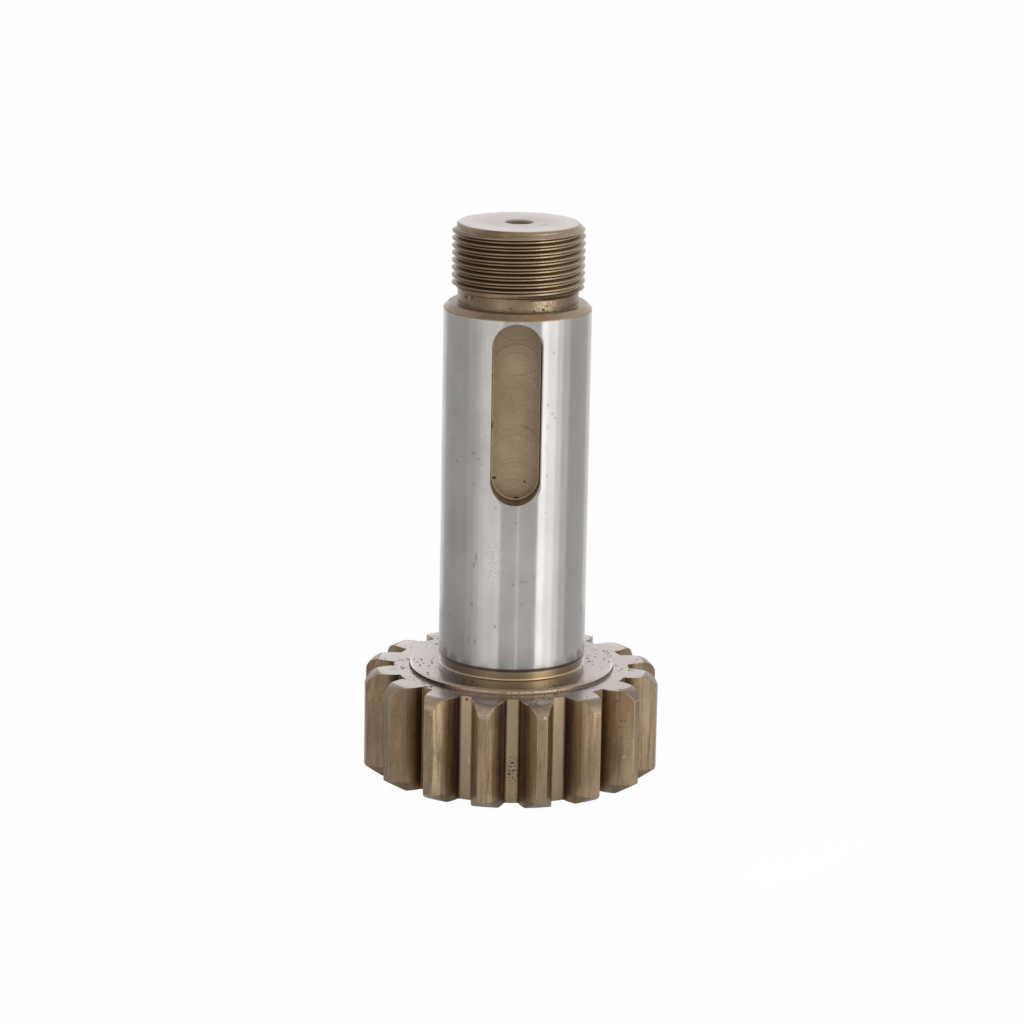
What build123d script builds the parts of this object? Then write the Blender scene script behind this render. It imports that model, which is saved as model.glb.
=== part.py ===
from build123d import *
from math import atan, cos, pi, radians, sin, sqrt, tan
import os

# Pinion shaft: one steel piece, turned, with the teeth, keyway and thread cut in it.
# Millimetres. +Z runs up the shaft, the origin is the centre of the pinion's
# lower face, on which the piece stands, and the keyway faces -Y.

# Pinion teeth
teeth = 16
module = 4.5
pressure_angle = 25.0
tooth_thickness = 7.58
addendum = 4.6
dedendum = 3.8
root_fillet = 0.43
flank_arcs = 2
tooth_gap_turn = 0.75

# Pinion blank
face_width = 28.9
lower_bevel_depth = 4.1
lower_bevel_height = 2.45
tooth_rounding_depth = 3.6
tooth_rounding_height = 3.1
tooth_rounding = 4.55

# Boss against the pinion
boss_diameter = 55.7
boss_height = 1.3
boss_rim_chamfer = 0.5

# Groove between boss and journal
groove_diameter = 39.0
groove_width = 2.65
groove_corner = 0.6

# Journal
journal_diameter = 40.0
journal_length = 97.66
journal_chamfer = 1.42

# Keyway
keyway_width = 13.2
keyway_length = 49.1
keyway_depth = 6.5
keyway_setback = 1.08
keyway_corner = 0.5

# Threaded end, with the relief that the thread runs out into
relief_diameter = 32.6
relief_width = 3.44
relief_cone_height = 1.03
thread_diameter = 35.8
thread_pitch = 2.0
thread_depth = 1.23
thread_crest_flat = 0.25
thread_flank_angle = 30.0
thread_lead_in = 1.74
threaded_end_length = 21.71
end_chamfer_depth = 1.83
end_chamfer_height = 1.79

# Centre holes, one in each end
centre_mouth_diameter = 7.92
centre_pilot_diameter = 4.0
centre_cone_angle = 30.0
centre_pilot_length = 4.6
drill_point_angle = 31.0

# How far a cut runs on past the metal
overrun = 0.6

# Radii of the teeth
pitch_radius = teeth * module / 2
base_radius = pitch_radius * cos(radians(pressure_angle))
tip_radius = pitch_radius + addendum
root_radius = pitch_radius - dedendum
cut_radius = tip_radius + overrun

# Radii of the turned lengths
boss_radius = boss_diameter / 2
groove_radius = groove_diameter / 2
journal_radius = journal_diameter / 2
relief_radius = relief_diameter / 2
thread_radius = thread_diameter / 2

# Heights up the shaft
boss_top = face_width + boss_height
journal_start = boss_top + groove_width
journal_end = journal_start + journal_length - journal_chamfer
shoulder = journal_start + journal_length
relief_top = shoulder + relief_width
thread_start = relief_top + relief_cone_height
overall_length = shoulder + threaded_end_length
thread_end = overall_length - end_chamfer_height


def polar(radius, angle):
    """The point at that radius, turned by that angle in radians from the X axis."""
    return (radius * cos(angle), radius * sin(angle))


# Half the angle of the gap between two teeth, where the involutes leave the base circle
tooth_half_angle = tooth_thickness / (2 * pitch_radius)
involute_at_pitch = tan(radians(pressure_angle)) - radians(pressure_angle)
base_half_gap = pi / teeth - tooth_half_angle - involute_at_pitch


def roll_angle(radius):
    """How far the involute has unrolled from the base circle at that radius."""
    return sqrt((radius / base_radius) ** 2 - 1)


def flank_point(roll, side):
    """The flank's point at that roll angle, on the gap's side 1 or -1."""
    radius = base_radius * sqrt(1 + roll**2)
    return polar(radius, side * (base_half_gap + roll - atan(roll)))


def draw_flank(side):
    """The gap's outline on one side: root fillet, radial foot and involute in arcs."""
    fillet_end_radius = sqrt(root_radius**2 + 2 * root_radius * root_fillet)
    flank_start_radius = max(base_radius, fillet_end_radius)
    start_roll = roll_angle(flank_start_radius)
    end_roll = roll_angle(cut_radius)
    flank_angle = base_half_gap + start_roll - atan(start_roll)
    land_angle = flank_angle - atan(root_fillet / fillet_end_radius)
    land_end = polar(root_radius, side * land_angle)
    fillet_end = polar(fillet_end_radius, side * flank_angle)
    RadiusArc(land_end, fillet_end, -side * root_fillet)
    if flank_start_radius > fillet_end_radius:
        Line(fillet_end, flank_point(start_roll, side))
    roll_step = (end_roll - start_roll) / flank_arcs
    for arc in range(flank_arcs):
        arc_rolls = [start_roll + roll_step * (arc + share) for share in (0, 0.5, 1)]
        ThreePointArc(*[flank_point(roll, side) for roll in arc_rolls])
    return land_end, flank_point(end_roll, side)


# Metal that the threading tool takes out, along a right-hand helix that starts on +X
groove_root_radius = thread_radius - thread_depth
groove_mouth_height = thread_depth + overrun / 10
flank_slope = tan(radians(thread_flank_angle))
crest_half_gap = (thread_pitch - thread_crest_flat) / 2
root_half_gap = crest_half_gap - thread_depth * flank_slope
mouth_half_gap = root_half_gap + groove_mouth_height * flank_slope
with BuildPart() as thread_groove:
    with BuildLine():
        helix_height = threaded_end_length - thread_lead_in + thread_pitch
        tool_path = Helix(thread_pitch, helix_height, groove_root_radius)
    with BuildSketch(Plane(origin=tool_path @ 0, x_dir=(1, 0, 0), z_dir=tool_path % 0)):
        with BuildLine():
            Polyline(
                (0, -root_half_gap),
                (groove_mouth_height, -mouth_half_gap),
                (groove_mouth_height, mouth_half_gap),
                (0, root_half_gap),
                close=True,
            )
        make_face()
    sweep(path=tool_path, is_frenet=True)

with BuildPart() as pinion_shaft:
    # Turned blank, from the pinion's lower face up to the end of the thread
    with BuildSketch(Plane.XZ):
        with BuildLine():
            rounding_start = (tip_radius, face_width - tooth_rounding_height)
            rounding_end = (tip_radius - tooth_rounding_depth, face_width)
            Polyline(
                (0, overall_length),
                (0, 0),
                (tip_radius - lower_bevel_depth, 0),
                (tip_radius, lower_bevel_height),
                rounding_start,
            )
            RadiusArc(rounding_start, rounding_end, -tooth_rounding)
            Polyline(
                rounding_end,
                (boss_radius, face_width),
                (boss_radius, boss_top - boss_rim_chamfer),
                (boss_radius - boss_rim_chamfer, boss_top),
                (groove_radius + groove_corner, boss_top),
                (groove_radius, boss_top + groove_corner),
                (groove_radius, journal_start),
                (journal_radius, journal_start),
                (journal_radius, journal_end),
                (journal_radius - journal_chamfer, shoulder),
                (relief_radius, shoulder),
                (relief_radius, relief_top),
                (thread_radius, thread_start),
                (thread_radius, thread_end),
                (thread_radius - end_chamfer_depth, overall_length),
                (0, overall_length),
            )
        make_face()
    revolve(axis=Axis.Z)

    # Gaps between the teeth: root land, fillets and involute flanks. The single gap is private,
    # because otherwise it would be cut once more, where it was drawn
    with BuildSketch(Plane.XY.offset(-overrun), mode=Mode.PRIVATE) as gap:
        with BuildLine():
            right_root, right_mouth = draw_flank(1)
            left_root, left_mouth = draw_flank(-1)
            ThreePointArc(left_root, (root_radius, 0), right_root)
            ThreePointArc(left_mouth, (cut_radius, 0), right_mouth)
        make_face()
    with BuildSketch(Plane.XY.offset(-overrun)):
        with PolarLocations(0, teeth, start_angle=tooth_gap_turn - 90):
            add(gap.sketch)
    extrude(amount=face_width + 2 * overrun, mode=Mode.SUBTRACT)

    # Keyway with round ends, milled into the journal
    keyway_middle = journal_end - keyway_setback - keyway_length / 2
    keyway_floor = keyway_depth - journal_radius
    floor_plane = Plane(origin=(0, keyway_floor, keyway_middle), x_dir=(0, 0, 1), z_dir=(0, -1, 0))
    with BuildSketch(floor_plane):
        SlotOverall(keyway_length, keyway_width)
    extrude(amount=keyway_depth + overrun, mode=Mode.SUBTRACT)
    floor_edges = pinion_shaft.faces().filter_by(Plane.XZ).sort_by(Axis.Y)[0].edges()
    fillet(floor_edges, radius=keyway_corner)

    # Centre hole in each end, with its pilot
    mouth_radius = centre_mouth_diameter / 2
    pilot_radius = centre_pilot_diameter / 2
    cone_depth = (mouth_radius - pilot_radius) / tan(radians(centre_cone_angle))
    pilot_depth = cone_depth + centre_pilot_length
    drill_depth = pilot_depth + pilot_radius * tan(radians(drill_point_angle))
    for end_height, inward in ((overall_length, -1), (0, 1)):
        with BuildSketch(Plane.XZ):
            with BuildLine():
                Polyline(
                    (0, end_height),
                    (mouth_radius, end_height),
                    (pilot_radius, end_height + inward * cone_depth),
                    (pilot_radius, end_height + inward * pilot_depth),
                    (0, end_height + inward * drill_depth),
                    close=True,
                )
            make_face()
        revolve(axis=Axis.Z, mode=Mode.SUBTRACT)

    # Thread on the shaft's end, starting behind the relief
    with Locations((0, 0, shoulder + thread_lead_in)):
        add(thread_groove.part, rotation=(0, 0, 90), mode=Mode.SUBTRACT)

pinion_shaft.part.label = "pinion_shaft"
os.makedirs("parts", exist_ok=True)
export_step(pinion_shaft.part, "parts/pinion_shaft.step")
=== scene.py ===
from math import atan, cos, pi, radians, sin, sqrt, tan

import bmesh
import bpy
import numpy as np
from mathutils import Matrix


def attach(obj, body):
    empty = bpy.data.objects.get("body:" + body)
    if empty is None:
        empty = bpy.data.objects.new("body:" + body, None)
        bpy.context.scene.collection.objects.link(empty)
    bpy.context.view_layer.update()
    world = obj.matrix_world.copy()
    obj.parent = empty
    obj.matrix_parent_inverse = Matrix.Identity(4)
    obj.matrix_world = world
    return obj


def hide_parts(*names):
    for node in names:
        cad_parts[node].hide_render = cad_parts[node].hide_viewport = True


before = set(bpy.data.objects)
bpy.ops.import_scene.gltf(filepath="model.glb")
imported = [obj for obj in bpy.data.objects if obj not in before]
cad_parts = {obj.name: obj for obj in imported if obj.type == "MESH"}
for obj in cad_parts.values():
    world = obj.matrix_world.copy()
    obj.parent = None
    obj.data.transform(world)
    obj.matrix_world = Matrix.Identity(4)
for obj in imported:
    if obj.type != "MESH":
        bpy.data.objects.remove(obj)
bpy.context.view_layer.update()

# Every length below is in millimetres, and is made metres where a mesh, a lamp, a spot or the
# camera is placed.
MM = 0.001

# Pinion
TEETH = 16
PITCH_RADIUS = 36.0
BASE_RADIUS = PITCH_RADIUS * cos(radians(25))
ROOT_RADIUS = 32.2
TIP_RADIUS = 40.6
TOOTH_THICKNESS = 7.58
ROOT_FILLET = 0.43
TIP_EDGE = 0.14
GAP_TURN = 0.75
FACE = 28.9
BEVEL_FOOT = 36.5
BEVEL_HEIGHT = 2.45
ROUNDING_START = 25.8
ROUNDING_CENTRE = (36.268, 24.409)
ROUNDING_RADIUS = 4.55
ROUNDING_ANGLES = (17.8, 80.7)
EDGE = 0.12
FACE_SEAM = 30

# Shaft
BOSS_RADIUS = 27.85
BOSS_TOP = 30.2
BOSS_CHAMFER = 0.5
GROOVE_RADIUS = 19.5
JOURNAL_RADIUS = 20.0
JOURNAL_START = 32.85
JOURNAL_SEAM = 33.6
JOURNAL_END = 129.09
SHOULDER = 130.51
SHOULDER_RADIUS = 18.58
RELIEF_RADIUS = 16.3
RELIEF_SEAM = 132.6
RELIEF_TOP = 133.95
THREAD_START = 134.98
THREAD_RADIUS = 17.9
THREAD_ROOT = 16.67
THREAD_END = 150.43
END_RADIUS = 16.07
TOP = 152.22
PITCH = 2.0
CREST_HALF_FLAT = 0.125
FIRST_CREST = 130.25
THREAD_TURNS = 12

# Centre holes: radii, and depths below the end face
CENTRE_MOUTH = 3.96
CENTRE_PILOT = 2
CENTRE_CONE_DEPTH = 3.395
CENTRE_PILOT_DEPTH = 7.995
CENTRE_POINT_DEPTH = 9.197

# Keyway
KEYWAY_HALF_WIDTH = 6.6
KEYWAY_LOW = 85.51
KEYWAY_HIGH = 121.41
KEYWAY_FLOOR = -13.5
KEYWAY_CORNER = 0.5
KEYWAY_EDGE = 0.12
MILL_RADIUS = 6.7
PATCH_LOW = 76.0
PATCH_HIGH = 128.8
PATCH_ROWS = 26
PATCH_COLUMNS = 30

# Columns round the whole piece, 26 to a tooth
COLUMNS = TEETH * 26
TURN = np.radians(-90 + 360 * np.arange(COLUMNS) / COLUMNS)

JOURNAL, TURNED, ENDS, GEAR_FACE, FLANKS, SLOT = range(6)


def rounded(corners, radii, steps=4, support=0.06):
    """Profile of (radius, height) pairs through corners, with an arc in each inner one.

    An arc touches both sides at radius * tan(half the turn) from its corner, and its
    points are centre + radius * (cos, sin) of an angle that runs evenly through the
    turn. One more point on each side, a little past the arc, keeps the sides flat.
    """
    corners = np.array(corners, float)
    radii = np.array(radii, float)[:, None]
    sides = np.diff(corners, axis=0)
    sides /= np.linalg.norm(sides, axis=1, keepdims=True)
    along, away = sides[:-1], sides[1:]
    turn = np.arctan2(along[:, 0] * away[:, 1] - along[:, 1] * away[:, 0], (along * away).sum(1))[:, None]
    bend = np.sign(turn)
    inward = bend * np.stack([-along[:, 1], along[:, 0]], axis=1)
    reach = radii * np.tan(np.abs(turn) / 2)
    centre = corners[1:-1] - along * reach + inward * radii
    start = np.arctan2(-inward[:, 1], -inward[:, 0])[:, None]
    angle = start + turn * np.linspace(0, 1, steps + 1)
    arc = centre[:, None] + radii[:, None] * np.stack([np.cos(angle), np.sin(angle)], axis=2)
    before = (corners[1:-1] - along * (reach + support))[:, None]
    after = (corners[1:-1] + away * (reach + support))[:, None]
    inner = np.concatenate([before, arc, after], axis=1).reshape(-1, 2)
    return np.concatenate([corners[:1], inner, corners[-1:]])


def revolved(profile, turn=TURN):
    """Grid of a profile turned about Z: (r cos t, r sin t, z) for each point and angle."""
    radius = profile[:, :1]
    height = np.broadcast_to(profile[:, 1:], (len(profile), len(turn)))
    return np.stack([radius * np.cos(turn), radius * np.sin(turn), height], axis=2)


def blank_radius(height):
    """Turned radius of the pinion blank: a bevel, the tip circle, then an arc."""
    bevel = np.interp(height, [0, BEVEL_HEIGHT], [BEVEL_FOOT, TIP_RADIUS])
    rise = np.clip(height - ROUNDING_CENTRE[1], 0, ROUNDING_RADIUS)
    arc = ROUNDING_CENTRE[0] + np.sqrt(ROUNDING_RADIUS**2 - rise**2)
    return np.where(height > ROUNDING_START, arc, bevel)


def involute(radius):
    """Angle that an involute has turned at a radius: tan(a) - a, with cos(a) = base / radius."""
    slope = np.arccos(np.minimum(BASE_RADIUS / radius, 1))
    return np.tan(slope) - slope


def tooth_outline(reach):
    """Outlines of all the teeth, one row for each blank radius in reach.

    Half a pitch is a root land, a fillet arc, an involute flank from the base circle to
    just under the tip, a small edge and half the tip land. It is mirrored about the
    tooth's middle and repeated round the circle.
    """
    reach = np.asarray(reach, float).reshape(-1, 1)
    same = np.ones_like(reach)
    half_pitch = pi / TEETH
    half_gap = half_pitch - TOOTH_THICKNESS / (2 * PITCH_RADIUS) - involute(PITCH_RADIUS)
    fillet_centre = ROOT_RADIUS + ROOT_FILLET
    fillet_end = sqrt(ROOT_RADIUS**2 + 2 * ROOT_RADIUS * ROOT_FILLET)
    land = half_gap - atan(ROOT_FILLET / fillet_end)
    sweep = np.linspace(pi, pi / 2 - (half_gap - land), 5)
    fillet_x = fillet_centre + ROOT_FILLET * np.cos(sweep)
    fillet_y = ROOT_FILLET * np.sin(sweep)
    fillet_radius = np.hypot(fillet_x, fillet_y) * same
    fillet_angle = (land + np.arctan2(fillet_y, fillet_x)) * same
    flank_radius = fillet_end + (reach - TIP_EDGE - fillet_end) * np.linspace(1 / 6, 1, 6)
    flank_angle = half_gap + involute(flank_radius)
    edge_angle = half_gap + involute(reach) + TIP_EDGE / reach
    radius = np.concatenate([ROOT_RADIUS * same, fillet_radius, flank_radius, reach, reach], axis=1)
    angle = np.concatenate([0 * same, fillet_angle, flank_angle, edge_angle, half_pitch * same], axis=1)
    radius = np.concatenate([radius, radius[:, -2:0:-1]], axis=1)
    angle = np.concatenate([angle, 2 * half_pitch - angle[:, -2:0:-1]], axis=1)
    gap = radians(GAP_TURN - 90) + 2 * half_pitch * np.arange(TEETH)
    angle = (angle[:, None, :] + gap[:, None]).reshape(len(reach), -1)
    radius = np.tile(radius, TEETH)
    return np.stack([radius * np.cos(angle), radius * np.sin(angle)], axis=2)


def drawn_in(outline, depth):
    """Outline moved into the metal: each point less depth times its outward normal."""
    along = np.roll(outline, -1, axis=1) - np.roll(outline, 1, axis=1)
    outward = np.stack([along[..., 1], -along[..., 0]], axis=-1)
    outward /= np.linalg.norm(outward, axis=-1, keepdims=True)
    return outline - depth * outward


def raised(outline, height):
    """Points of an outline with their heights added as the third coordinate."""
    height = np.broadcast_to(np.reshape(height, (-1, 1, 1)), outline.shape[:2] + (1,))
    return np.concatenate([outline, height], axis=2)


def blended(first, last, shares):
    """Rows between two outlines: first + share * (last - first)."""
    shares = np.reshape(shares, (-1, 1, 1))
    return first + shares * (last - first)


def slot_outline(offset):
    """Keyway outline in (x, z): the middle line's point plus (half width + offset) * normal."""
    return slot_middle + (KEYWAY_HALF_WIDTH + offset) * slot_normal


def thread_radius(drop):
    """Thread's radius at an axial distance from the crest: flat, 60 degree flank, flat."""
    flank = THREAD_RADIUS - (np.abs(drop) - CREST_HALF_FLAT) / tan(radians(30))
    return np.clip(flank, THREAD_ROOT, THREAD_RADIUS)


sheets = []


def sheet(points, finish, closed=True):
    """Keeps a grid of points (rows, columns, 3), closed round if its columns meet."""
    sheets.append((points, finish, closed))


# Lower face, with its centre hole
lower_face = revolved(rounded(
    [(0, CENTRE_POINT_DEPTH), (CENTRE_PILOT, CENTRE_PILOT_DEPTH), (CENTRE_PILOT, CENTRE_CONE_DEPTH),
     (CENTRE_MOUTH, 0), (FACE_SEAM, 0)],
    [0.05, 0.1, 0.1], steps=2,
))
foot_outline = drawn_in(tooth_outline([BEVEL_FOOT]), EDGE)
sheet(lower_face, ENDS)
sheet(np.concatenate([lower_face[-1:], raised(foot_outline, 0)]), ENDS)

# Teeth, from the lower bevel to the rounded upper ends
rise = np.radians(np.linspace(*ROUNDING_ANGLES, 9))
heights = np.concatenate([
    [EDGE, 0.8, 1.6, BEVEL_HEIGHT - 0.06, BEVEL_HEIGHT],
    np.linspace(BEVEL_HEIGHT + 0.06, ROUNDING_START - 0.08, 4),
    [ROUNDING_START, ROUNDING_START + 0.08],
    ROUNDING_CENTRE[1] + ROUNDING_RADIUS * np.sin(rise[1:-1]),
    [FACE - EDGE],
])
sides = raised(tooth_outline(blank_radius(heights)), heights)
top_outline = raised(drawn_in(tooth_outline(blank_radius(np.array([FACE]))), EDGE), FACE)
sheet(np.concatenate([raised(foot_outline, 0), sides, top_outline]), FLANKS)

# Upper face, boss and groove
boss = revolved(rounded(
    [(FACE_SEAM, FACE), (BOSS_RADIUS, FACE), (BOSS_RADIUS, BOSS_TOP - BOSS_CHAMFER),
     (BOSS_RADIUS - BOSS_CHAMFER, BOSS_TOP), (GROOVE_RADIUS, BOSS_TOP), (GROOVE_RADIUS, JOURNAL_START),
     (JOURNAL_RADIUS, JOURNAL_START), (JOURNAL_RADIUS, JOURNAL_SEAM)],
    [0.3, 0.08, 0.08, 0.45, 0.1, 0.12],
))
sheet(np.concatenate([blended(top_outline, boss[:1], [0, 0.4]), boss[:1]]), GEAR_FACE)
sheet(boss, GEAR_FACE)

# Journal, whole below the keyway
journal_heights = np.linspace(JOURNAL_SEAM, PATCH_LOW, 5)
sheet(revolved(np.stack([0 * journal_heights + JOURNAL_RADIUS, journal_heights], axis=1)), JOURNAL)

# Journal beside and behind the keyway
patch_heights = np.linspace(PATCH_LOW, PATCH_HIGH, PATCH_ROWS + 1)
beside = np.radians(-90 + 360 * np.arange(PATCH_COLUMNS, COLUMNS - PATCH_COLUMNS + 1) / COLUMNS)
patch_profile = np.stack([0 * patch_heights + JOURNAL_RADIUS, patch_heights], axis=1)
sheet(revolved(patch_profile, beside), JOURNAL, closed=False)

# Patch of the journal round the keyway's mouth: its border follows the grid above
patch_x = JOURNAL_RADIUS * np.sin(2 * pi * np.arange(-PATCH_COLUMNS, PATCH_COLUMNS + 1) / COLUMNS)
border = np.concatenate([
    np.stack([0 * patch_heights + patch_x[-1], patch_heights], axis=1)[:-1],
    np.stack([patch_x, 0 * patch_x + PATCH_HIGH], axis=1)[:0:-1],
    np.stack([0 * patch_heights + patch_x[0], patch_heights], axis=1)[:0:-1],
    np.stack([patch_x, 0 * patch_x + PATCH_LOW], axis=1)[:-1],
])

# Keyway's middle line and outward normal, a point of each for each point of the border:
# those beside the straight walls keep their height, the rest go evenly round the ends
straight = np.flatnonzero((patch_heights > KEYWAY_LOW) & (patch_heights < KEYWAY_HIGH))
low_row, high_row = straight[0], straight[-1]
end_count = 2 * (PATCH_ROWS - high_row) + 2 * PATCH_COLUMNS
foot_count = 2 * low_row + 2 * PATCH_COLUMNS


def slot_end(count, spare, middle, up):
    """Middle line and normals round one end: down the wall's rest, half a turn, and back."""
    arc = pi * KEYWAY_HALF_WIDTH
    run = np.linspace(0, arc + 2 * spare, count + 1)
    angle = np.clip((run - spare) / KEYWAY_HALF_WIDTH, 0, pi)
    left = np.maximum(spare - run, 0) + np.maximum(run - spare - arc, 0)
    line = np.stack([0 * run, middle - up * left], axis=1)
    return line, up * np.stack([np.cos(angle), np.sin(angle)], axis=1)


upper_line, upper_normal = slot_end(end_count, KEYWAY_HIGH - patch_heights[high_row], KEYWAY_HIGH, 1)
lower_line, lower_normal = slot_end(foot_count, patch_heights[low_row] - KEYWAY_LOW, KEYWAY_LOW, -1)
wall_line = np.stack([0 * straight, patch_heights[straight]], axis=1)
wall_normal = np.stack([0 * straight + 1.0, 0 * straight], axis=1)
slot_middle = np.concatenate([wall_line[:-1], upper_line, wall_line[-2:0:-1], lower_line[:-1]])
slot_normal = np.concatenate([wall_normal[:-1], upper_normal, -wall_normal[-2:0:-1], lower_normal[:-1]])
border = np.roll(border, -low_row, axis=0)

# Patch: straight lines from border to mouth in (x, z), laid on the journal
mouth = slot_outline(KEYWAY_EDGE)
patch = blended(border[None], mouth[None], np.linspace(0, 1, 6))
skin = -np.sqrt(JOURNAL_RADIUS**2 - patch[..., 0]**2)
sheet(np.stack([patch[..., 0], skin, patch[..., 1]], axis=2), JOURNAL)

# Pocket: edge round, wall, floor round and floor, down to the middle line
bend = np.linspace(0, pi / 2, 4)
edge_offset = KEYWAY_EDGE * (1 - np.sin(bend))
edge_drop = KEYWAY_EDGE * (1 - np.cos(bend))
floor_offset = -KEYWAY_CORNER * (1 - np.cos(bend))
floor_depth = KEYWAY_FLOOR - KEYWAY_CORNER * (1 - np.sin(bend))
edge_rows = np.stack([slot_outline(offset) for offset in edge_offset])
edge_skin = edge_drop[:, None] - np.sqrt(JOURNAL_RADIUS**2 - edge_rows[..., 0]**2)
wall_share = np.array([0.04, 0.5, 0.96])[:, None]
wall_rows = np.repeat(edge_rows[-1:], 3, axis=0)
wall_depth = edge_skin[-1] + wall_share * (floor_depth[0] - edge_skin[-1])
offsets = np.concatenate([floor_offset, [-0.6, -2.2, -3.8, -5.4, -KEYWAY_HALF_WIDTH]])
floor_rows = np.stack([slot_outline(offset) for offset in offsets])
floor_y = np.concatenate([floor_depth, np.full(5, KEYWAY_FLOOR)])[:, None] + 0 * floor_rows[..., 0]
pocket = np.concatenate([edge_rows, wall_rows, floor_rows])
pocket_y = np.concatenate([edge_skin, wall_depth, floor_y])
sheet(np.stack([pocket[..., 0], pocket_y, pocket[..., 1]], axis=2), SLOT)

# Shoulder and relief
sheet(revolved(rounded(
    [(JOURNAL_RADIUS, PATCH_HIGH), (JOURNAL_RADIUS, JOURNAL_END), (SHOULDER_RADIUS, SHOULDER),
     (RELIEF_RADIUS, SHOULDER), (RELIEF_RADIUS, RELIEF_SEAM)],
    [0.15, 0.15, 0.15],
)), TURNED)

# Thread: a ribbon one pitch wide wound up the shaft, each point pulled in to the turned
# shape where that is smaller, and held between the relief and the end face
thread_top = TOP - 0.1
step = np.arange(THREAD_TURNS * COLUMNS + 1)[:, None]
drop = np.array([-1, -0.835, -0.15, -0.09, 0.09, 0.15, 0.835, 1])
crest = FIRST_CREST + PITCH * step / COLUMNS
height = np.clip(crest + drop, RELIEF_SEAM, thread_top)
turned = np.interp(
    height,
    [RELIEF_SEAM, RELIEF_TOP, THREAD_START, THREAD_END, TOP],
    [RELIEF_RADIUS, RELIEF_RADIUS, THREAD_RADIUS, THREAD_RADIUS, END_RADIUS],
)
ribbon_radius = np.minimum(turned, thread_radius(height - crest))
ribbon_angle = np.radians(-90) + 2 * pi * step / COLUMNS
ribbon = np.stack([ribbon_radius * np.cos(ribbon_angle), ribbon_radius * np.sin(ribbon_angle), height], axis=2)
sheet(ribbon.transpose(1, 0, 2), TURNED, closed=False)

# Upper end face, with its centre hole
rim = np.interp(thread_top, [THREAD_END, TOP], [THREAD_RADIUS, END_RADIUS])
sheet(revolved(rounded(
    [(rim, thread_top), (END_RADIUS, TOP), (CENTRE_MOUTH, TOP), (CENTRE_PILOT, TOP - CENTRE_CONE_DEPTH),
     (CENTRE_PILOT, TOP - CENTRE_PILOT_DEPTH), (0, TOP - CENTRE_POINT_DEPTH)],
    [0.08, 0.15, 0.1, 0.05], steps=2, support=0.03,
)), ENDS)


def quads(rows, columns, closed):
    """Corner numbers of a grid's faces: (i, j), (i, j + 1), (i + 1, j + 1), (i + 1, j)."""
    i, j = np.meshgrid(np.arange(rows - 1), np.arange(columns if closed else columns - 1), indexing="ij")
    k = (j + 1) % columns
    return np.stack([i * columns + j, i * columns + k, (i + 1) * columns + k, (i + 1) * columns + j], axis=2)


def sewn(name, materials):
    """One closed mesh of all the sheets, with the points that meet merged."""
    points, faces, finishes, first = [], [], [], 0
    for grid, finish, closed in sheets:
        rows, columns = grid.shape[:2]
        corners = quads(rows, columns, closed).reshape(-1, 4) + first
        points.append(grid.reshape(-1, 3))
        faces.append(corners)
        finishes.append(np.full(len(corners), finish))
        first += rows * columns
    mesh = bpy.data.meshes.new(name)
    mesh.from_pydata((np.concatenate(points) * MM).tolist(), [], np.concatenate(faces).tolist())
    for material in materials:
        mesh.materials.append(material)
    mesh.polygons.foreach_set("material_index", np.concatenate(finishes).astype(np.int32))
    work = bmesh.new()
    work.from_mesh(mesh)
    bmesh.ops.remove_doubles(work, verts=work.verts, dist=2e-6)
    bmesh.ops.recalc_face_normals(work, faces=work.faces)
    work.to_mesh(mesh)
    work.free()
    mesh.shade_smooth()
    mesh.set_sharp_from_angle(angle=radians(25))
    piece = bpy.data.objects.new(name, mesh)
    bpy.context.scene.collection.objects.link(piece)
    return piece


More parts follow.
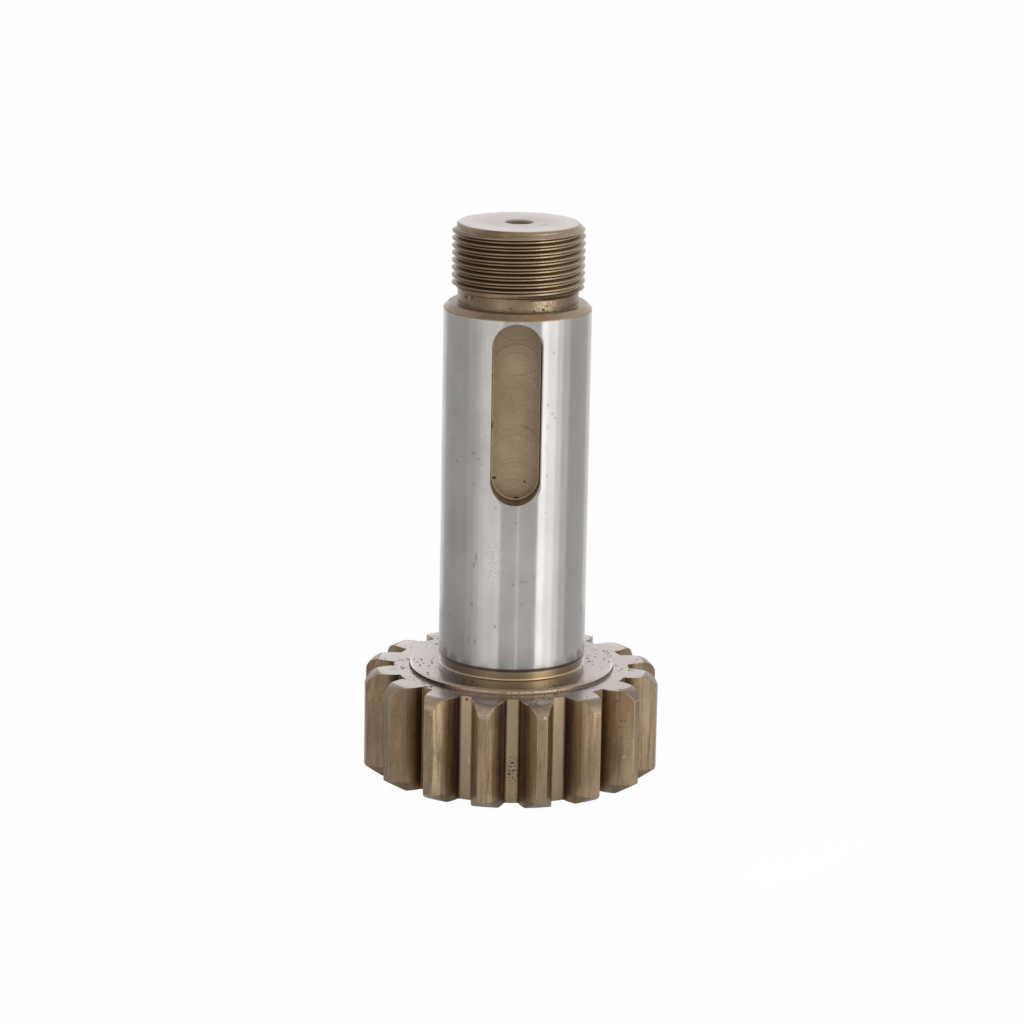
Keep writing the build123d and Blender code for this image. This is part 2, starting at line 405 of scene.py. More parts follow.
class Value:
    """A shader socket: sums on it add Math nodes, and node() adds any other node."""

    def __init__(self, tree, socket=None):
        self.tree = tree
        self.socket = socket

    def node(self, kind, settings=None, sockets=None, output=0):
        """Adds a node, sets its settings, then its sockets, and gives one of its outputs."""
        made = self.tree.nodes.new(kind)
        for name, setting in (settings or {}).items():
            if name == "stops":
                ramp = made.color_ramp
                for spare in setting[len(ramp.elements):]:
                    ramp.elements.new(spare[0])
                for element, (place, colour) in zip(ramp.elements, setting):
                    element.position = place
                    element.color = (*colour, 1)
            else:
                setattr(made, name, setting)
        for name, value in (sockets or {}).items():
            if isinstance(value, Value):
                self.tree.links.new(value.socket, made.inputs[name])
            else:
                made.inputs[name].default_value = value
        return Value(self.tree, made.outputs[output])

    def maths(self, operation, *terms):
        return self.node("ShaderNodeMath", {"operation": operation}, dict(enumerate(terms)))

    def __add__(self, other):
        return self.maths("ADD", self, other)

    def __radd__(self, other):
        return self.maths("ADD", other, self)

    def __sub__(self, other):
        return self.maths("SUBTRACT", self, other)

    def __rsub__(self, other):
        return self.maths("SUBTRACT", other, self)

    def __mul__(self, other):
        return self.maths("MULTIPLY", self, other)

    def __rmul__(self, other):
        return self.maths("MULTIPLY", other, self)

    def __truediv__(self, other):
        return self.maths("DIVIDE", self, other)

    def ramp(self, low, high, first=0.0, last=1.0):
        """Goes evenly from first to last as the value goes from low to high, and no further."""
        return self.node("ShaderNodeMapRange", None, {
            "Value": self, "From Min": low, "From Max": high, "To Min": first, "To Max": last,
        })

    def stretched(self, x, y, z):
        """A vector multiplied by (x, y, z)."""
        return self.node("ShaderNodeVectorMath", {"operation": "MULTIPLY"}, {0: self, 1: (x, y, z)})

    def noise(self, scale, detail=2.0, roughness=0.5):
        """Noise on this vector, from 0 to 1."""
        return self.node("ShaderNodeTexNoise", None, {
            "Vector": self, "Scale": scale, "Detail": detail, "Roughness": roughness,
        })

    def mixed(self, first, last):
        """Colour between two, with this value as the share of the last."""
        made = {"data_type": "RGBA", "clamp_factor": True}
        return self.node("ShaderNodeMix", made, {0: self, 6: first, 7: last}, output=2)

    def wobble(self, scale=2600):
        """Noise from -0.7 to 0.7, which makes the edge of a spot ragged."""
        return self.noise(scale, 2, 0.6) * 1.4 - 0.7

    def pits(self, scale, size, dimensions="3D"):
        """1 in the middle of scattered spots, a cell of the pattern apart, falling to 0 at size."""
        cells = self.node(
            "ShaderNodeTexVoronoi", {"voronoi_dimensions": dimensions}, {"Vector": self, "Scale": scale}
        )
        odd = self.noise(scale * 0.7, 1).ramp(0.45, 0.6, 0.25, 1)
        return (cells / (odd * size)).ramp(0.6, 1, 1, 0)

    def spot(self, place, wide, tall, wobble):
        """1 inside an oval about a place in millimetres, its edge moved by the wobble."""
        scale = (1 / (MM * wide), 1 / (MM * wide), 1 / (MM * tall))
        back = tuple(-MM * part * size for part, size in zip(place, scale))
        oval = self.node("ShaderNodeMapping", None, {"Vector": self, "Location": back, "Scale": scale})
        away = oval.node("ShaderNodeVectorMath", {"operation": "LENGTH"}, {0: oval}, output=1)
        return (away + wobble).ramp(0.6, 1.2, 1, 0)


def colour(red, green, blue):
    """A colour from its 0 to 255 screen values, made linear."""
    parts = np.array([red, green, blue]) / 255
    linear = np.where(parts > 0.04045, ((parts + 0.055) / 1.055) ** 2.4, parts / 12.92)
    return (*linear.tolist(), 1.0)


def steel(name, paint, coat_roughness=0.2):
    """Metal material: paint(place, across, height, radius) gives colour, roughness, coat and bump.

    place is the point itself, across is how far right of the keyway's middle it lies, and
    radius is its distance from the axis. A coat of None leaves the bare metal.
    """
    material = bpy.data.materials.new(name)
    material.use_nodes = True
    tree = material.node_tree
    shader = tree.nodes["Principled BSDF"]
    shader.inputs["Metallic"].default_value = 1.0
    shader.inputs["Coat Roughness"].default_value = coat_roughness
    place = Value(tree).node("ShaderNodeTexCoord", output=3)
    across, height = [
        place.node("ShaderNodeSeparateXYZ", None, {0: place}, output=axis) / MM for axis in (0, 2)
    ]
    flat = place.stretched(1, 1, 0)
    radius = place.node("ShaderNodeVectorMath", {"operation": "LENGTH"}, {0: flat}, output=1) / MM
    tint, roughness, coat, relief = paint(place, across, height, radius)
    tree.links.new(tint.socket, shader.inputs["Base Color"])
    tree.links.new(roughness.socket, shader.inputs["Roughness"])
    if coat is not None:
        tree.links.new(coat.socket, shader.inputs["Coat Weight"])
    bump = place.node("ShaderNodeBump", None, {"Strength": 1.0, "Distance": MM, "Height": relief})
    tree.links.new(bump.socket, shader.inputs["Normal"])
    return material


def on_round(azimuth, height, radius):
    """Place on a cylinder, its azimuth from the keyway's side, positive to the right."""
    return (radius * sin(radians(azimuth)), -radius * cos(radians(azimuth)), height)


def most(first, *others):
    """The largest of some shader values."""
    for other in others:
        first = first.maths("MAXIMUM", first, other)
    return first


# Small scars on the journal: azimuth, height, half width, half height, darkness
SCARS = [
    (-51.5, 89.2, 0.45, 0.4, 0.6), (-55.4, 94.8, 0.6, 0.4, 0.35), (-33.5, 92.4, 1.2, 0.3, 0.4),
    (-29.9, 91.0, 1.0, 0.28, 0.4), (-27.2, 89.7, 0.5, 0.3, 0.4), (-32.4, 84.0, 0.35, 0.6, 0.4),
    (-23.7, 97.4, 0.3, 0.5, 0.3), (29.1, 120.3, 0.5, 0.5, 0.4), (24.6, 106.2, 0.4, 0.6, 0.5),
    (28.3, 103.7, 0.6, 0.35, 0.45), (31.2, 102.5, 0.35, 0.35, 0.5), (24.7, 100.3, 0.3, 0.9, 0.4),
    (24.6, 94.5, 0.35, 0.3, 0.4), (25.1, 86.8, 0.4, 0.4, 0.4), (24.7, 76.7, 0.35, 0.3, 0.35),
    (-14.6, 78.0, 0.3, 0.4, 0.6), (0.9, 74.3, 0.5, 0.3, 0.45), (-8.8, 73.2, 0.4, 0.3, 0.35),
    (-30.2, 63.9, 0.35, 1.3, 0.7), (-32.0, 61.7, 0.4, 0.9, 0.6), (-0.1, 57.2, 0.35, 0.4, 0.6),
    (7.5, 58.0, 1.3, 0.3, 0.35), (15.3, 59.5, 0.5, 0.4, 0.3), (6.3, 51.6, 0.35, 0.3, 0.45),
    (-33.4, 50.6, 0.45, 0.9, 0.5), (-57.7, 46.1, 0.7, 0.5, 0.45), (-13.7, 45.3, 0.35, 0.4, 0.8),
    (-36.3, 40.7, 0.35, 0.9, 0.5), (-30.3, 40.4, 0.35, 1.0, 0.5), (69.8, 47.1, 0.8, 1.6, 0.4),
    (70.8, 112.9, 0.4, 0.6, 0.4), (128, 70, 0.5, 1.1, 0.5), (-140, 100, 0.9, 0.4, 0.5), (170, 52, 0.4, 0.8, 0.5),
]


def journal_finish(place, across, height, radius):
    """Ground steel: fine lines round the journal, faint clouds, scars and a stained foot, with painted shade low
    on the left and a painted highlight towards the right.
    """
    lines = place.stretched(60, 60, 5000).noise(1, 3, 0.6)
    clouds = place.stretched(1, 1, 0.5).noise(130, 3, 0.55)
    wobble = place.wobble()
    fleck = place.stretched(2600, 2600, 900).noise(1, 2, 0.6)
    patch = place.noise(70, 3, 0.6).ramp(0.48, 0.7)
    grit = place.noise(3000, 2, 0.7)
    rough = place.spot(on_round(-15, 63, JOURNAL_RADIUS), 3.2, 8, wobble)
    stain = place.spot(on_round(-56, 68, JOURNAL_RADIUS), 5, 14, clouds)
    flecks = fleck.ramp(0.7, 0.78) * patch
    scars = most(*[
        place.spot(on_round(azimuth, rise, JOURNAL_RADIUS), wide, tall, wobble) * depth
        for azimuth, rise, wide, tall, depth in SCARS
    ]) * 0.55
    tint = clouds.ramp(0.3, 0.7).mixed(colour(152, 150, 147), colour(164, 161, 158))
    tint = (patch * across.ramp(-2, 6, 0.35, 0.1)).mixed(tint, colour(150, 138, 132))
    tint = (stain * 0.4).mixed(tint, colour(148, 128, 127))
    # Painted highlight: the journal is paler and greyer towards the right, where the right lamps show in it.
    tint = across.ramp(9, 15, 0, 0.5).mixed(tint, colour(174, 168, 164))
    tint = (flecks * 0.5).mixed(tint, colour(92, 84, 76))
    tint = (rough * grit.ramp(0.52, 0.62) * 0.25).mixed(tint, colour(204, 202, 198))
    tint = (rough * grit.ramp(0.46, 0.38) * 0.3).mixed(tint, colour(118, 113, 108))
    tint = scars.mixed(tint, colour(58, 50, 44))
    # Painted shade: darker low on the left side of the journal.
    tint = (height.ramp(34, 62, 0.4, 0) * across.ramp(-13, -5, 1, 0)).mixed(tint, colour(98, 92, 89))
    tint = height.ramp(32.9, 33.2, 0.3, 0).mixed(tint, colour(104, 88, 70))
    roughness = 0.1 + 0.06 * clouds + 0.06 * patch + 0.2 * scars + height.ramp(33, 37, 0.05, 0)
    return tint, roughness, None, lines * 0.001 - (scars + flecks) * 0.006


def turned_finish(place, across, height, radius):
    """Browned turned steel: thread, relief and shoulder, with painted shade on the thread's flanks, on its left
    side and in the relief's corner, and painted highlights and sheen.
    """
    rings = place.stretched(90, 90, 2600).noise(1, 3, 0.6)
    clouds = place.noise(110, 4, 0.6)
    grain = place.noise(2400, 3, 0.6)
    wobble = place.wobble()
    pits = place.pits(650, 0.2) * clouds.ramp(0.5, 0.62)
    relief = height.ramp(130.6, 130.7) * height.ramp(133.9, 134.1, 1, 0)
    # Painted highlight: a pale, speckled strip on the relief to the front right, where the right lamps show in
    # it.
    relief_highlight = across.ramp(3.0, 4.6) * across.ramp(8.5, 12.5, 1, 0) * relief
    speckle = place.noise(1900, 2, 0.6).ramp(0.5, 0.58)
    spots = most(
        place.spot(on_round(24.3, 131.25, RELIEF_RADIUS), 0.4, 0.4, wobble),
        place.spot(on_round(-58.4, 133.1, RELIEF_RADIUS), 0.6, 0.5, wobble),
        place.spot(on_round(-48.8, 133.3, RELIEF_RADIUS), 0.4, 0.5, wobble),
        place.spot(on_round(28, 132.2, RELIEF_RADIUS), 0.25, 0.25, wobble),
        place.spot(on_round(-7, 131.6, RELIEF_RADIUS), 0.25, 0.25, wobble),
        place.spot((9.9, -15.7, 130.2), 0.3, 0.4, wobble),
    )
    rust = place.spot(on_round(17, 129.7, 19.4), 4.2, 0.9, wobble)
    flank = radius.ramp(16.7, 16.8) * radius.ramp(17.6, 17.8, 1, 0)
    thread = height.ramp(134.1, 134.7) * height.ramp(150.4, 150.6, 1, 0)
    plain = clouds.ramp(0.35, 0.65).mixed(colour(106, 89, 69), colour(138, 120, 97))
    # Painted light and shade on the thread: crests and roots paler, flanks darker.
    valley = radius.ramp(16.8, 17.4).mixed(colour(128, 108, 84), colour(146, 125, 100))
    cut = flank.mixed(valley, colour(96, 78, 57))
    tint = thread.mixed(plain, cut)
    lit = thread * (1.0 - flank) * across.ramp(-2, 6) * across.ramp(13, 17, 1, 0.3)
    tint = (lit * 0.6).mixed(tint, colour(190, 168, 136))
    # Painted highlight: the chamfer above the thread is paler towards the right.
    tint = (height.ramp(150.4, 150.6) * across.ramp(-3, 5)).mixed(tint, colour(154, 136, 114))
    # Painted shade: the thread is darker on the left.
    tint = (thread * across.ramp(-15, -2, 0.6, 0)).mixed(tint, colour(86, 64, 53))
    # Painted sheen: the relief and shoulder are paler and speckled towards both sides.
    side_sheen = across.maths("ABSOLUTE", across).ramp(10, 17) * (1.0 - thread) * speckle
    tint = (side_sheen * 0.4).mixed(tint, colour(176, 162, 154))
    lower = height.ramp(130.6, 130.7, 1, 0)
    # Painted highlight: the shoulder, the journal's top end and, less, the thread are paler towards the right.
    tint = (most(thread * 0.45, lower * 0.8) * across.ramp(6, 12)).mixed(tint, colour(160, 142, 120))
    tint = grain.ramp(0.35, 0.75, 0, 0.4).mixed(tint, colour(76, 58, 41))
    tint = (relief_highlight * (0.15 + 0.5 * speckle)).mixed(tint, colour(186, 168, 142))
    tint = (rust * 0.35).mixed(tint, colour(160, 116, 82))
    # Painted shade in the corner where the relief meets the shoulder.
    corner = height.ramp(SHOULDER, 130.8, 1, 0) * radius.ramp(RELIEF_RADIUS, 16.6, 1, 0)
    tint = (corner * 0.7).mixed(tint, colour(70, 52, 36))
    tint = (most(pits, spots) * 0.9).mixed(tint, colour(44, 32, 22))
    roughness = 0.28 + 0.2 * grain
    return tint, roughness, most(pits, spots).ramp(0, 1, 0.25, 0), rings * 0.006 + grain * 0.006 - pits * 0.03


def end_finish(place, across, height, radius):
    """Turned end face: pale steel with fine rings about the centre."""
    turn = place.stretched(30, 30, 0)
    ring_place = place.node("ShaderNodeCombineXYZ", None, {0: radius * 1.6, 1: height * 0.5, 2: 0.0})
    both = place.node("ShaderNodeVectorMath", {"operation": "ADD"}, {0: turn, 1: ring_place})
    rings = both.noise(1, 3, 0.6)
    clouds = place.noise(140, 4, 0.6)
    wobble = place.wobble()
    pits = place.pits(500, 0.12) * clouds.ramp(0.45, 0.55)
    spots = most(
        place.spot((-1.7, 1.0, TOP), 0.4, 0.4, wobble),
        place.spot((6.8, -4.6, TOP), 0.5, 0.4, wobble),
        place.spot((5.0, 3.3, TOP), 0.35, 0.3, wobble),
    )
    tint = rings.ramp(0.3, 0.7).mixed(colour(176, 166, 161), colour(208, 203, 202))
    tint = clouds.ramp(0.45, 0.7, 0, 0.45).mixed(tint, colour(184, 168, 158))
    tint = (most(pits, spots) * 0.8).mixed(tint, colour(90, 76, 64))
    tint = radius.ramp(8, 13, 0, 0.45).mixed(tint, colour(226, 218, 216))
    hole = radius.ramp(3.6, 4.1)
    tint = (radius.ramp(15.8, 16.1) * 0.5).mixed(tint, colour(158, 149, 144))
    tint = hole.mixed(colour(98, 87, 70), tint)
    return tint, 0.3 + 0.1 * clouds, None, rings * 0.008 - pits * 0.02


# Close groups of pits on the pinion's upper face: x, y and half width
PIT_GROUPS = [
    (-29.6, -13.2, 1.6), (-29.0, -15.2, 1.2), (-31.0, -4.9, 2.2), (-29.3, 2.8, 2.0), (-22.5, -20.5, 2.2),
    (24.0, -24.8, 1.2), (29.4, -15.4, 1.6), (28.5, 1.2, 1.4), (30.5, -22.0, 1.2), (-24.5, 26.0, 2.5),
    (12.0, 32.0, 2.0),
]


def gear_face_finish(place, across, height, radius):
    """Faced steel on the pinion's upper face, boss and groove: brown under an oil film, with painted light and
    shade on the boss's wall, in the groove and at the sides.
    """
    clouds = place.noise(120, 4, 0.6)
    grain = place.noise(1500, 4, 0.65)
    rings = place.stretched(200, 200, 4000).noise(1, 2, 0.5)
    wobble = place.wobble(1600)
    groups = most(*[place.spot((x, y, FACE), size, size, wobble) for x, y, size in PIT_GROUPS])
    long = place.stretched(1, 0.45, 1)
    on_boss = height.ramp(BOSS_TOP - 0.04, BOSS_TOP - 0.01) * height.ramp(BOSS_TOP + 0.02, BOSS_TOP + 0.05, 1, 0)
    pits = most(
        long.pits(760, 0.32, "2D") * place.noise(85, 2, 0.5).ramp(0.44, 0.56),
        long.pits(1100, 0.6, "2D") * groups,
    ) * (height.ramp(FACE + 0.02, FACE + 0.06, 1, 0) + on_boss)
    groove = radius.ramp(20.4, 21.2, 1, 0) * height.ramp(30.3, 30.8)
    wall = radius.ramp(27.6, 27.75) * radius.ramp(27.95, 28.2, 1, 0) * height.ramp(29.6, 29.75, 1, 0)
    aside = across.maths("ABSOLUTE", across)
    front = aside.ramp(12, 18, 1, 0)
    wall_highlight = across.ramp(-4, 7, 0.6, 1) * height.ramp(29.2, 29.3) * grain.ramp(0.42, 0.5, 0.1, 1)
    lit = across.ramp(2, 7) * across.ramp(9, 13, 1, 0)
    tint = clouds.ramp(0.3, 0.7).mixed(colour(110, 90, 70), colour(128, 106, 85))
    tint = grain.ramp(0.45, 0.75, 0, 0.4).mixed(tint, colour(84, 67, 52))
    # Painted reflection: the upper face and boss are paler and lilac towards both sides.
    tint = (aside.ramp(12, 23) * 0.65).mixed(tint, colour(158, 146, 142))
    # Painted shade: the groove is darker on the left, and lit is its painted light on the right.
    shaded_groove = across.ramp(-14, -6).mixed(colour(96, 82, 62), colour(126, 109, 82))
    tint = groove.mixed(tint, lit.mixed(shaded_groove, colour(170, 150, 116)))
    # Painted shadow under the journal's edge, at the top of the groove.
    tint = (groove * height.ramp(32.45, 32.65)).mixed(tint, colour(62, 50, 40))
    # Painted highlight: a gold line at the foot of the groove, brightest towards the right.
    tint = (groove * height.ramp(30.85, 30.6) * across.ramp(-8, 7, 0.25, 1)).mixed(tint, colour(206, 174, 120))
    # Painted reflection: the boss's chamfer is pale at both sides.
    chamfer = radius.ramp(27.2, 27.4) * height.ramp(29.68, 29.74) * aside.ramp(17, 23)
    tint = (chamfer * 0.6).mixed(tint, colour(206, 196, 192))
    # Painted light and shade on the boss's wall: a bright line in front, dark at the sides.
    shade = across.ramp(-5, 5).mixed(colour(66, 54, 50), colour(116, 102, 94))
    tint = wall.mixed(tint, front.mixed(shade, wall_highlight.mixed(colour(132, 113, 93), colour(232, 214, 190))))
    tint = pits.mixed(tint, colour(40, 30, 24))
    roughness = 0.24 + 0.14 * grain + 0.3 * wall
    return tint, roughness, most(pits, wall).ramp(0, 1, 0.85, 0), grain * 0.008 + rings * 0.003 - pits * 0.05


# Bright specks where the pinion's edges are rubbed: x, y, z and half width
GLINTS = [
    (-21.2, -34.3, 25.2, 0.35), (-20.6, -34.9, 24.4, 0.3), (22.4, -33.5, 25.0, 0.4), (-7.4, -39.6, 25.9, 0.3),
    (8.9, -39.3, 26.2, 0.3), (22.1, -33.7, 23.6, 0.25), (-37.6, -15.3, 18.4, 0.35), (-37.4, -15.9, 10.9, 0.35),
    (30.7, -23.3, 10.5, 0.4), (32.0, -21.5, 4.4, 0.5), (37.0, -15.2, 7.7, 0.35),
]


def flank_finish(place, across, height, radius):
    """Browned teeth with streaks along them; paler root lands as painted light, paler edges as wear and painted
    highlight, and painted light and shade by side.

    Distance from a gap's middle, round the circle: radius times the angle between the
    place and the nearest gap, a triangle wave of the azimuth with one gap as its period.
    """
    streaks = place.stretched(1100, 1100, 40).noise(1, 3, 0.6)
    wide = place.stretched(260, 260, 20).noise(1, 2, 0.5)
    clouds = place.noise(110, 4, 0.6)
    grain = place.noise(1800, 3, 0.6)
    specks = place.noise(1900, 3, 0.7).ramp(0.53, 0.59)
    blotch = place.stretched(420, 420, 110).noise(1, 4, 0.65)
    wobble = place.wobble()
    depth = place.node("ShaderNodeSeparateXYZ", None, {0: place}, output=1) / MM
    azimuth = place.maths("ARCTAN2", depth, across) - radians(GAP_TURN - 90)
    from_gap = place.maths("PINGPONG", azimuth, pi / TEETH) * radius
    pits = most(
        place.pits(800, 0.24) * place.noise(120, 2, 0.5).ramp(0.6, 0.68),
        specks * place.spot((0.6, -32.2, 9.5), 1.6, 4.2, wobble),
        specks * place.spot((3.7, -34.3, 10.0), 1.8, 5.0, wobble) * 0.8,
        specks * place.spot((-2.7, -32.3, 25.4), 1.2, 1.6, wobble),
        place.spot((-11.9, -29.9, 28.0), 0.35, 0.35, wobble),
        specks * place.spot((-26.5, -29.0, 27.0), 2.2, 1.4, wobble) * 0.8,
    )
    nicks = place.stretched(1500, 1500, 160).noise(1, 2, 0.6).ramp(0.69, 0.76)
    glints = most(*[place.spot((x, y, z), size, size, wobble) for x, y, z, size in GLINTS])
    scratches = most(
        place.spot((32.5, -24.3, 10.5), 1.6, 8, wobble),
        place.spot((-37.3, -16.0, 16.5), 0.8, 7, wobble),
        place.spot((22.0, -31.0, 8.0), 2.5, 5, wobble) * 0.6,
    ) * streaks.ramp(0.5, 0.6)
    foot = radius.ramp(34.6, 33.2, 0, 1)
    root = foot * from_gap.ramp(1.3, 1.48, 1, 0)
    corner = foot * from_gap.ramp(1.3, 1.48)
    tip = radius.ramp(40.5, 40.56)
    outer = radius.ramp(36.5, 39) * radius.ramp(40.3, 40.4, 1, 0)
    rise = height - ROUNDING_CENTRE[1]
    arc = place.maths("SQRT", ROUNDING_RADIUS**2 - rise * rise) + ROUNDING_CENTRE[0]
    crown = (radius - arc).ramp(-0.25, -0.08) * height.ramp(ROUNDING_START, ROUNDING_START + 0.3)
    bevel = height.ramp(BEVEL_HEIGHT - 0.1, BEVEL_HEIGHT + 0.1, 1, 0) * radius.ramp(34, 36)
    edge = radius.ramp(40.44, 40.48) * radius.ramp(40.56, 40.59, 1, 0)
    tint = wide.ramp(0.3, 0.7).mixed(colour(132, 111, 86), colour(164, 143, 117))
    # Painted highlight on the outer flanks of the left and middle teeth.
    tint = (outer * across.ramp(-28, -24) * across.ramp(-4, 4, 1, 0)).mixed(tint, colour(210, 188, 152))
    # Painted light: the teeth are paler towards the right.
    tint = across.ramp(4, 34, 0, 0.3).mixed(tint, colour(176, 156, 130))
    # Painted shade: the teeth are darker at the far left.
    tint = across.ramp(-29, -25, 0.6, 0).mixed(tint, colour(104, 84, 64))
    tint = (across.ramp(27, 31) * height.ramp(18, 25) * 0.5).mixed(tint, colour(108, 92, 75))
    tint = height.ramp(3, 9, 0.3, 0).mixed(tint, colour(176, 156, 128))
    tint = grain.ramp(0.54, 0.7, 0, 0.35).mixed(tint, colour(94, 76, 57))
    tint = grain.ramp(0.42, 0.28, 0, 0.3).mixed(tint, colour(188, 168, 138))
    # Painted shade: the tip lands are darker on the left.
    tint = (tip * across.ramp(-14, -6, 0.6, 0)).mixed(tint, colour(112, 99, 86))
    tint = clouds.ramp(0.5, 0.36, 0, 0.35).mixed(tint, colour(122, 114, 84))
    tint = streaks.ramp(0.42, 0.7, 0, 0.65).mixed(tint, colour(98, 78, 56))
    tint = blotch.ramp(0.54, 0.68, 0, 0.4).mixed(tint, colour(92, 74, 56))
    tint = blotch.ramp(0.46, 0.34, 0, 0.3).mixed(tint, colour(176, 152, 122))
    # Painted shade in the root fillets, less towards the right.
    tint = (corner * across.ramp(0, 12, 0.75, 0.55)).mixed(tint, colour(80, 62, 44))
    # Painted light: the root lands, which face outwards, are paler.
    tint = (root * 0.7).mixed(tint, colour(154, 136, 110))
    tint = clouds.ramp(0.55, 0.75, 0, 0.4).mixed(tint, colour(154, 112, 76))
    tint = (crown * 0.75).mixed(tint, colour(116, 102, 89))
    tint = (bevel * 0.6).mixed(tint, colour(100, 86, 70))
    # Paler tip edges: partly wear, partly painted highlight.
    edge_wear_and_highlight = place.stretched(300, 300, 90).noise(1, 2, 0.6).ramp(0.46, 0.6)
    tint = (edge * edge_wear_and_highlight * 0.5).mixed(tint, colour(178, 158, 128))
    tint = (most(nicks, scratches, glints) * 0.6).mixed(tint, colour(208, 192, 168))
    tint = pits.mixed(tint, colour(48, 36, 27))
    bump = streaks * 0.012 + grain * 0.004 - pits * 0.03 - nicks * 0.01
    return tint, 0.3 + 0.16 * grain, pits.ramp(0, 1, 0.25, 0), bump


def slot_finish(place, across, height, radius):
    """Milled keyway: brown floor with the round sweep marks of an end mill.

    The marks are noise on height - s and height + s, where s is the half chord
    sqrt(mill radius**2 - x**2) of the mill, so each keeps the mill's radius. Two marks are
    drawn as whole arcs at heights of their own.
    """
    clouds = place.noise(110, 3, 0.6)
    grain = place.noise(3400, 3, 0.65)
    chord = place.maths("SQRT", place.maths("MAXIMUM", MILL_RADIUS**2 - across * across, 0.0))
    fore = place.node("ShaderNodeCombineXYZ", None, {0: (height - chord) * 1.7, 1: 0.0, 2: 0.0})
    aft = place.node("ShaderNodeCombineXYZ", None, {0: (height + chord) * 1.7, 1: 7.0, 2: 0.0})
    sweeps = most(fore.noise(1, 2, 0.5), aft.noise(1, 2, 0.5)).ramp(0.56, 0.7)
    sweeps = sweeps * most(clouds.ramp(0.4, 0.6), height.ramp(119, 121))
    from_line = [height - chord - line for line in (115.0, 92.9)]
    arcs = [line.maths("ABSOLUTE", line + grain * 0.5 - 0.25).ramp(0.1, 0.3, 1, 0) for line in from_line]
    arcs = most(arcs[0] * clouds.ramp(0.3, 0.5), arcs[1] * across.ramp(0.5, 2))
    wobble = place.wobble()
    spots = most(
        place.spot((2.6, KEYWAY_FLOOR, 84.1), 0.35, 0.35, wobble),
        place.spot((0.4, KEYWAY_FLOOR, 79.6), 0.9, 0.3, wobble),
        place.spot((-5.6, KEYWAY_FLOOR, 85.0), 0.7, 0.4, wobble),
        place.spot((-6.4, KEYWAY_FLOOR, 99.5), 0.3, 1.2, wobble),
    )
    tint = clouds.ramp(0.3, 0.7).mixed(colour(130, 113, 89), colour(149, 132, 108))
    tint = across.ramp(0.5, 5, 0, 0.5).mixed(tint, colour(112, 94, 78))
    tint = (grain.ramp(0.48, 0.68) * across.ramp(-2, 4, 0.55, 0.8)).mixed(tint, colour(92, 75, 56))
    tint = grain.ramp(0.42, 0.3, 0, 0.4).mixed(tint, colour(172, 154, 124))
    tint = height.ramp(114, 124, 0, 0.6).mixed(tint, colour(106, 91, 74))
    tint = most(sweeps * 0.6, arcs * 0.5).mixed(tint, colour(78, 62, 47))
    # Painted light: the left wall and its floor corner are paler.
    tint = (across.ramp(-6.55, -6.2, 1, 0) * 0.6).mixed(tint, colour(196, 182, 166))
    tint = (radius.ramp(15.2, 15.7) * 0.6).mixed(tint, colour(120, 107, 94))
    # Painted shade along the right wall, deeper higher up.
    tint = (across.ramp(6.2, 6.5) * height.ramp(90, 106, 0.2, 0.7)).mixed(tint, colour(64, 50, 40))
    tint = (spots * 0.85).mixed(tint, colour(44, 32, 24))
    return tint, 0.34 + 0.14 * grain, spots.ramp(0, 1, 0.15, 0), grain * 0.004 - sweeps * 0.006


finishes = [
    steel("ground_journal", journal_finish),
    steel("browned_turned_steel", turned_finish),
    steel("turned_end_face", end_finish),
    steel("stained_gear_face", gear_face_finish),
    steel("browned_teeth", flank_finish),
    steel("milled_keyway", slot_finish),
]
shaft = sewn("pinion_shaft_steel", finishes)
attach(shaft, "root")
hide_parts("pinion_shaft")

# Pale floor: nearly white where the camera sees it, with the piece's faint shadow
FLOOR_HALF_WIDTH = 5000
FLOOR_HEIGHT = -0.2
floor_material = bpy.data.materials.new("pale_floor")
floor_material.use_nodes = True
floor_tree = floor_material.node_tree
floor_tree.nodes.clear()
paper = Value(floor_tree)
camera_ray = paper.node("ShaderNodeLightPath", output=0)
glossy_ray = paper.node("ShaderNodeLightPath", output=3)
glow = paper.node("ShaderNodeEmission", None, {"Color": (1, 1, 1, 1), "Strength": 1.0})
matt = paper.node("ShaderNodeBsdfDiffuse", None, {"Color": (0.66, 0.66, 0.66, 1)})
seen = camera_ray * 0.97 + glossy_ray * 0.3
floor_shader = paper.node("ShaderNodeMixShader", None, {0: seen, 1: matt, 2: glow})
floor_output = floor_tree.nodes.new("ShaderNodeOutputMaterial")
floor_tree.links.new(floor_shader.socket, floor_output.inputs["Surface"])
floor_mesh = bpy.data.meshes.new("floor")
floor_corners = [(-1, -1), (1, -1), (1, 1), (-1, 1)]
floor_mesh.from_pydata(
    [(x * FLOOR_HALF_WIDTH * MM, y * FLOOR_HALF_WIDTH * MM, FLOOR_HEIGHT * MM) for x, y in floor_corners],
    [], [(0, 1, 2, 3)],
)
floor_mesh.materials.append(floor_material)
floor = bpy.data.objects.new("floor", floor_mesh)
bpy.context.scene.collection.objects.link(floor)

# Even white surroundings
world = bpy.data.worlds.new("white_room")
bpy.context.scene.world = world
world.use_nodes = True
world.node_tree.nodes["Background"].inputs["Color"].default_value = (1, 1, 1, 1)
world.node_tree.nodes["Background"].inputs["Strength"].default_value = 1.0


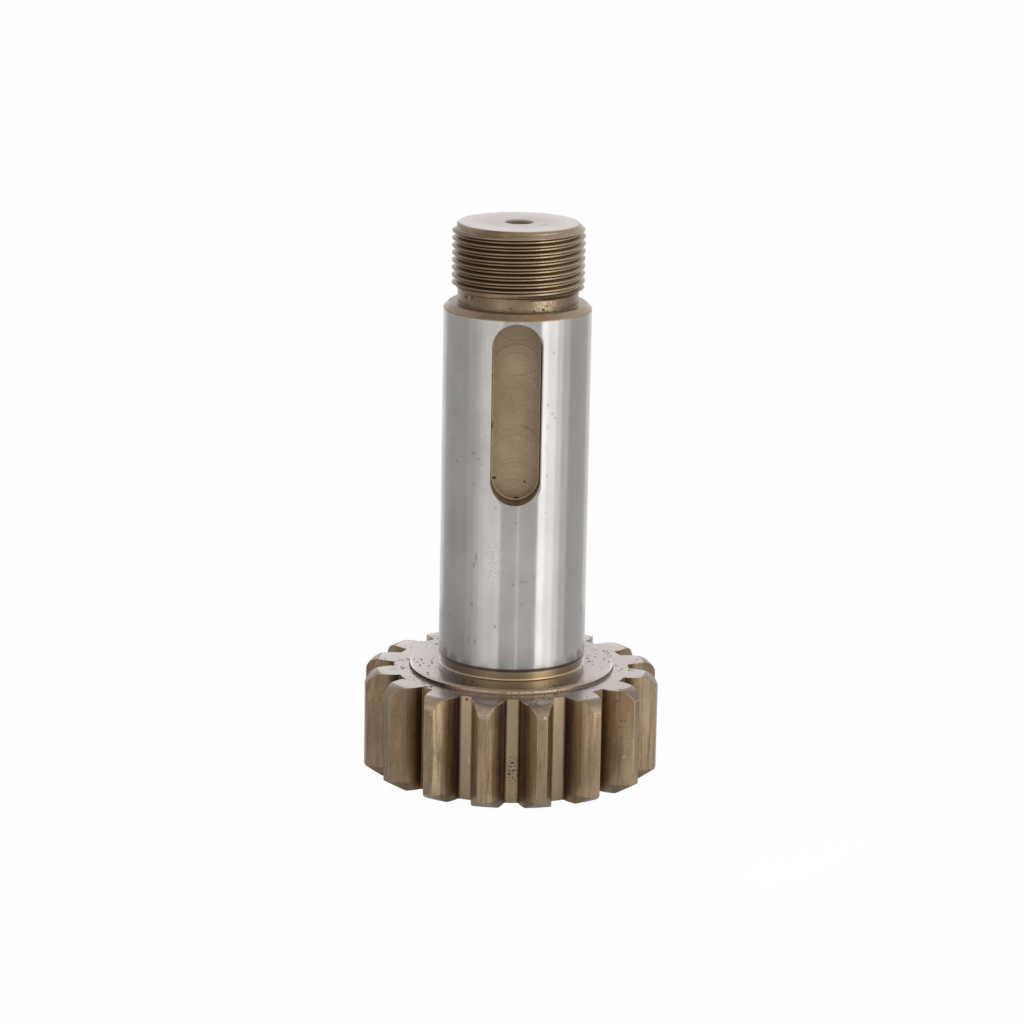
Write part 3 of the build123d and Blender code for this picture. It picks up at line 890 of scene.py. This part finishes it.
def soft_panel(name, first, last, distance, low, high, radiance, lean=0.0):
    """Lamp facing the shaft's axis, seen from there between two azimuths.

    Azimuths are from the keyway's side, positive to the right, and low and high are its
    ends' heights. Its power is what gives its face that radiance: pi * area * radiance.
    Its top leans to the right by an angle in degrees.
    """
    turn = radians((first + last) / 2)
    lamp = bpy.data.lights.new(name, "AREA")
    lamp.shape = "RECTANGLE"
    lamp.size = 2 * distance * tan(radians(last - first) / 2) * MM
    lamp.size_y = (high - low) * MM
    lamp.energy = pi * lamp.size * lamp.size_y * radiance
    holder = bpy.data.objects.new(name, lamp)
    place = (distance * sin(turn) * MM, -distance * cos(turn) * MM, (low + high) / 2 * MM)
    leaning = Matrix.Rotation(-radians(lean), 4, "Z")
    facing = Matrix.Rotation(turn, 4, "Z") @ Matrix.Rotation(pi / 2, 4, "X") @ leaning
    holder.matrix_world = Matrix.Translation(place) @ facing
    holder.visible_camera = False
    bpy.context.scene.collection.objects.link(holder)


# Panels that start at the same azimuth and reach further and further round, so that the
# light in the journal has a firm inner edge and fades outwards: outer azimuth and radiance
RIGHT_EDGE, LEFT_EDGE = 34.7, -19.2
RIGHT_PANELS = [(45, 0.55), (60, 0.6), (70, 0.5), (84, 0.35)]
LEFT_PANELS = [(-26, 0.12), (-45, 0.17), (-52, 0.25), (-60, 0.2), (-74, 0.12)]
NEAR, FAR = 115, 160
for number, (reach, radiance) in enumerate(RIGHT_PANELS, start=1):
    soft_panel(f"right_lamp_{number}", RIGHT_EDGE, reach, NEAR, 2, 170, radiance, lean=2)
for number, (reach, radiance) in enumerate(LEFT_PANELS):
    soft_panel(f"left_lamp_{number}", reach, LEFT_EDGE, NEAR, 2, 165, radiance)
soft_panel("front_lamp", LEFT_EDGE, RIGHT_EDGE, NEAR, 8, 165, 0.28)
soft_panel("front_strip", 5.3, 6.3, NEAR, 0, 120, 1.2)
soft_panel("back_right_lamp", 135, 172, FAR, 2, 190, 0.22)
soft_panel("back_left_lamp", -172, -135, FAR, 2, 190, 0.3)

# Camera at the photograph's viewpoint, which was found from the turned rims and the teeth
CAMERA_PLACE = (-5.27, -925.9, 307.2)
CAMERA_TURN, CAMERA_FALL, CAMERA_ROLL = -0.261, 12.576, 1.032
camera_data = bpy.data.cameras.new("camera")
camera_data.sensor_width = 36
camera_data.lens = 123.334
camera_data.shift_y = -0.0996
camera_data.clip_start = 0.01
camera = bpy.data.objects.new("camera", camera_data)
camera.matrix_world = (
    Matrix.Translation([part * MM for part in CAMERA_PLACE])
    @ Matrix.Rotation(radians(CAMERA_TURN), 4, "Z")
    @ Matrix.Rotation(radians(90 - CAMERA_FALL), 4, "X")
    @ Matrix.Rotation(radians(CAMERA_ROLL), 4, "Z")
)
bpy.context.scene.collection.objects.link(camera)
bpy.context.scene.camera = camera
bpy.context.scene.view_settings.view_transform = "Standard"
